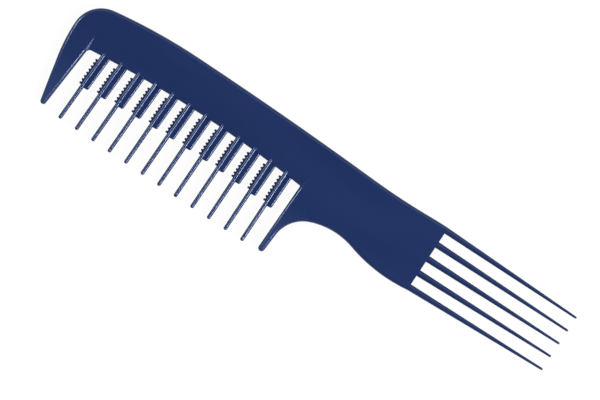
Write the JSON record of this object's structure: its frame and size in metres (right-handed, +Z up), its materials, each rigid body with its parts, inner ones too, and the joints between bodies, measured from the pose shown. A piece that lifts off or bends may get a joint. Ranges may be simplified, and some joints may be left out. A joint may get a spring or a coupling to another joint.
{
  "type": "lift comb",
  "caption": "Flat moulded styling comb: a rake of slender teeth with side fins and teasing pegs under a spine, wide guard teeth, a finger-notched handle and long tapered lift prongs.",
  "frame": {"origin": "middle of the comb's length and width, on its underside", "axes": "+X from the front guard tooth to the prong tips, +Y from the tooth tips to the back edge, +Z up through the thickness"},
  "size_m": [0.203, 0.045, 0.004],
  "materials": {
    "comb_plastic": "navy blue, moulded, satin gloss"
  },
  "bodies": {
    "root": {"front_guard_tooth": "comb_plastic", "handle": "comb_plastic", "lift_prong_1": "comb_plastic", "lift_prong_2": "comb_plastic", "lift_prong_3": "comb_plastic", "lift_prong_4": "comb_plastic", "lift_prong_5": "comb_plastic", "long_tooth_01": "comb_plastic", "long_tooth_02": "comb_plastic", "long_tooth_03": "comb_plastic", "long_tooth_04": "comb_plastic", "long_tooth_05": "comb_plastic", "long_tooth_06": "comb_plastic", "long_tooth_07": "comb_plastic", "long_tooth_08": "comb_plastic", "long_tooth_09": "comb_plastic", "long_tooth_10": "comb_plastic", "long_tooth_11": "comb_plastic", "long_tooth_12": "comb_plastic", "rear_guard_tooth": "comb_plastic", "serrated_edge_01": "comb_plastic", "serrated_edge_02": "comb_plastic", "serrated_edge_03": "comb_plastic", "serrated_edge_04": "comb_plastic", "serrated_edge_05": "comb_plastic", "serrated_edge_06": "comb_plastic", "serrated_edge_07": "comb_plastic", "serrated_edge_08": "comb_plastic", "serrated_edge_09": "comb_plastic", "serrated_edge_10": "comb_plastic", "serrated_edge_11": "comb_plastic", "serrated_edge_12": "comb_plastic", "side_fin_01": "comb_plastic", "side_fin_02": "comb_plastic", "side_fin_03": "comb_plastic", "side_fin_04": "comb_plastic", "side_fin_05": "comb_plastic", "side_fin_06": "comb_plastic", "side_fin_07": "comb_plastic", "side_fin_08": "comb_plastic", "side_fin_09": "comb_plastic", "side_fin_10": "comb_plastic", "side_fin_11": "comb_plastic", "side_fin_12": "comb_plastic", "spine": "comb_plastic"}
  },
  "joints": []
}
